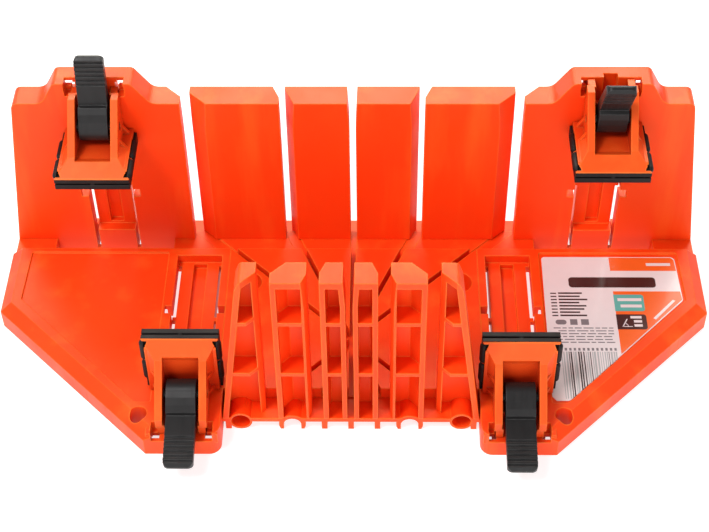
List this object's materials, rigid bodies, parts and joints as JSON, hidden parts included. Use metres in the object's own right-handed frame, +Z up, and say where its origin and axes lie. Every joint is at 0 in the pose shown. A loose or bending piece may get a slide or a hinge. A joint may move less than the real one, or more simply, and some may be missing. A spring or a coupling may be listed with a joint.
{
  "type": "mitre box",
  "caption": "Slotted plastic mitre box with a tall fence, a ribbed front wall, two wide wings and sliding cam clamps on the fence and wings.",
  "frame": {"origin": "middle of the length, on the fence face, at the resting plane", "axes": "+X along the fence to the right, +Y from the front wall towards the fence's back, +Z up"},
  "size_m": [0.315, 0.1519, 0.1186],
  "materials": {
    "moulding": "satin moulded plastic",
    "clamp_plastic": "satin moulded plastic",
    "lever_plastic": "semi-matt",
    "pad_rubber": "matt",
    "label": "printed film"
  },
  "bodies": {
    "mitre_box": {"deck_centre": "moulding", "wing_left": "moulding", "wing_right": "moulding", "rear_sill": "moulding", "front_sill": "moulding", "fence_end_left": "moulding", "fence_block_b": "moulding", "fence_block_c": "moulding", "fence_block_d": "moulding", "fence_block_e": "moulding", "fence_end_right": "moulding", "post_a": "moulding", "post_b": "moulding", "post_c": "moulding", "post_d": "moulding", "post_e": "moulding", "post_f": "moulding", "label_sheet": "label"},
    "clamp_fence_left": {"housing_fence_left": "clamp_plastic", "pad_fence_left": "pad_rubber"},
    "cam_fence_left": {"lever_fence_left": "lever_plastic"},
    "clamp_fence_right": {"housing_fence_right": "clamp_plastic", "pad_fence_right": "pad_rubber"},
    "cam_fence_right": {"lever_fence_right": "lever_plastic"},
    "clamp_table_left": {"housing_table_left": "clamp_plastic", "pad_table_left": "pad_rubber"},
    "cam_table_left": {"lever_table_left": "lever_plastic"},
    "clamp_table_right": {"housing_table_right": "clamp_plastic", "pad_table_right": "pad_rubber"},
    "cam_table_right": {"lever_table_right": "lever_plastic"}
  },
  "joints": [
    {"name": "slide_fence_left", "type": "slide", "parent": "mitre_box", "child": "clamp_fence_left", "axis": [0, 0, 1], "range_m": [-0.0385, 0.004]},
    {"name": "hinge_fence_left", "type": "hinge", "parent": "clamp_fence_left", "child": "cam_fence_left", "pos_m": [-0.1102, -0.008, 0.085], "axis": [1, 0, 0], "range_deg": [0, 100]},
    {"name": "slide_fence_right", "type": "slide", "parent": "mitre_box", "child": "clamp_fence_right", "axis": [0, 0, 1], "range_m": [-0.0427, 0]},
    {"name": "hinge_fence_right", "type": "hinge", "parent": "clamp_fence_right", "child": "cam_fence_right", "pos_m": [0.1102, -0.008, 0.0892], "axis": [1, 0, 0], "range_deg": [-40, 60]},
    {"name": "slide_table_left", "type": "slide", "parent": "mitre_box", "child": "clamp_table_left", "axis": [0, 1, 0], "range_m": [-0.0015, 0.045]},
    {"name": "hinge_table_left", "type": "hinge", "parent": "clamp_table_left", "child": "cam_table_left", "pos_m": [-0.0702, -0.1031, 0.0212], "axis": [-1, 0, 0], "range_deg": [0, 100]},
    {"name": "slide_table_right", "type": "slide", "parent": "mitre_box", "child": "clamp_table_right", "axis": [0, 1, 0], "range_m": [0, 0.0463]},
    {"name": "hinge_table_right", "type": "hinge", "parent": "clamp_table_right", "child": "cam_table_right", "pos_m": [0.0702, -0.1044, 0.0212], "axis": [-1, 0, 0], "range_deg": [0, 100]}
  ]
}
